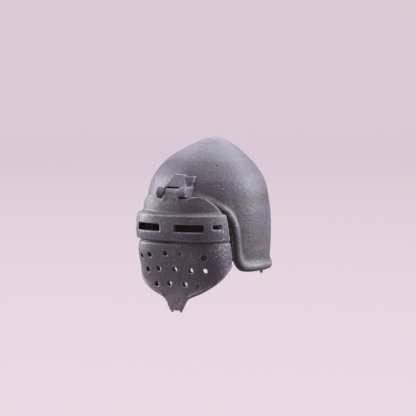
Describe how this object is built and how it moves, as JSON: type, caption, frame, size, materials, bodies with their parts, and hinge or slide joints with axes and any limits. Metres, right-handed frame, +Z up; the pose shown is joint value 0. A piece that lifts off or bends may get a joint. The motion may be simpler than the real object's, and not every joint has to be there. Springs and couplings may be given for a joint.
{
  "type": "toy figure bascinet with hinged visor",
  "caption": "Small pointed helmet for a toy figure, with a rolled rim, a round head cavity and a visor that swings up on a brow hinge.",
  "frame": {"origin": "middle of the flat seat inside the crown, where the figure's head stops", "axes": "+Z up, face along -Y, the wearer's left along +X"},
  "size_m": [0.0128, 0.0148, 0.0167],
  "materials": {
    "skull_resin": "satin grey printed resin with a faint violet cast",
    "bracket_resin": "satin grey printed resin",
    "pin_resin": "satin grey printed resin",
    "visor_resin": "satin grey printed resin with pale specks"
  },
  "bodies": {
    "skull": {"skull": "skull_resin", "hinge_bracket": "bracket_resin", "hinge_pin": "pin_resin"},
    "visor": {"visor": "visor_resin"}
  },
  "joints": [
    {"name": "visor_hinge", "type": "hinge", "parent": "skull", "child": "visor", "pos_m": [0, -0.0069, 0.00108], "axis": [-1, 0, 0], "range_deg": [0, 120]}
  ]
}
